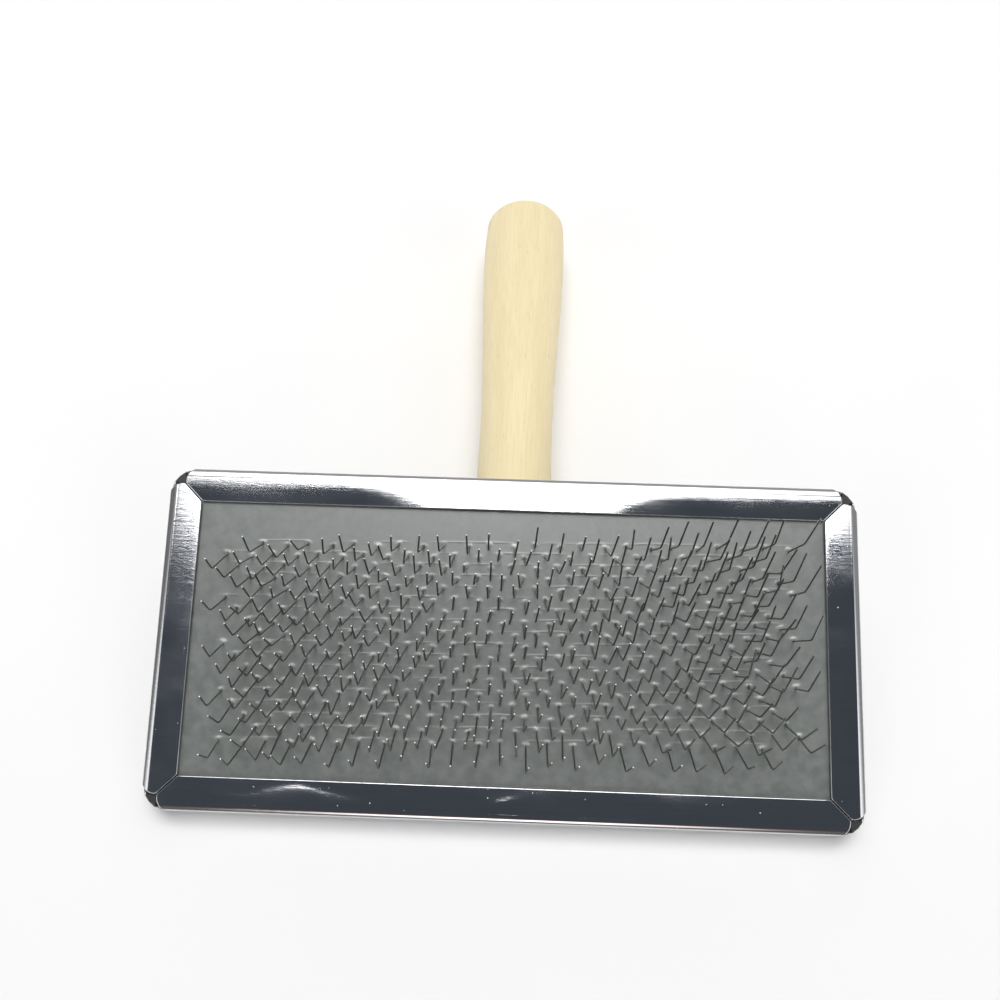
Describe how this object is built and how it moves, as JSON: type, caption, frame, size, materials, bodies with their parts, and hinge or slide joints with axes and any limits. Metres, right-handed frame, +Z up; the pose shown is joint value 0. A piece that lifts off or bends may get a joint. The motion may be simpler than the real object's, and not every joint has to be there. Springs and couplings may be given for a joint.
{
  "type": "hand carder",
  "caption": "Small hand carder: a folded steel head framing a rubber-faced card cloth of bent wire pins, on a plain turned wooden handle.",
  "frame": {"origin": "bottom centre of the overall box as the carder lies on a table, pins up", "axes": "+Z up, +X along the head's long side, +Y from the head to the handle's end"},
  "size_m": [0.12, 0.1456, 0.0379],
  "materials": {
    "wood": "pale fine-grained wood, sanded smooth with a thin clear finish",
    "steel": "bright stainless sheet, lightly brushed along the head's length, sharp cut edges",
    "board": "black, satin",
    "cloth": "plain woven cotton",
    "rubber": "grey-green rubber, smooth and slightly dusty, dimpled where the wires come through",
    "wire": "drawn steel wire with bright cut tips",
    "screw": "zinc plated"
  },
  "bodies": {
    "root": {"handle": "wood", "steel_shell": "steel", "core_board": "board", "cloth_foundation": "cloth", "rubber_facing": "rubber", "pin_row_01": "wire", "pin_row_02": "wire", "pin_row_03": "wire", "pin_row_04": "wire", "pin_row_05": "wire", "pin_row_06": "wire", "pin_row_07": "wire", "pin_row_08": "wire", "pin_row_09": "wire", "pin_row_10": "wire", "pin_row_11": "wire", "pin_row_12": "wire", "pin_row_13": "wire", "pin_row_14": "wire", "pin_row_15": "wire", "pin_row_16": "wire", "pin_row_17": "wire", "pin_row_18": "wire", "screw_front": "screw", "screw_rear": "screw"}
  },
  "joints": []
}
